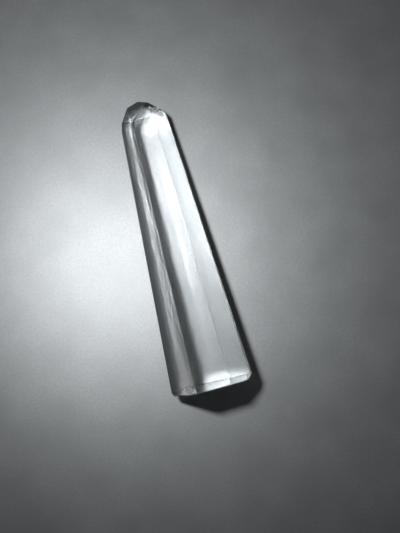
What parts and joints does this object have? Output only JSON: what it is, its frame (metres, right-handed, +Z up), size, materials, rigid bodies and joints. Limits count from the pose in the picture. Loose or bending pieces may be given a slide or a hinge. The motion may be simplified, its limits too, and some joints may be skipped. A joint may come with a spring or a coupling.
{
  "type": "polished quartz point",
  "caption": "Clear rock crystal point: a tapering six-sided prism with a short faceted tip and a flat cut base, for display or handling.",
  "frame": {"origin": "the bounding box's centre in X and Y, on the plane of the long face that the crystal rests on", "axes": "+Z up, away from the rest face; +Y along the crystal, from its flat base to its tip; +X to the right of someone who looks from the base towards the tip"},
  "size_m": [0.0246, 0.0944, 0.0234],
  "materials": {
    "clear_quartz": "polished"
  },
  "bodies": {
    "root": {"quartz_point": "clear_quartz"}
  },
  "joints": []
}
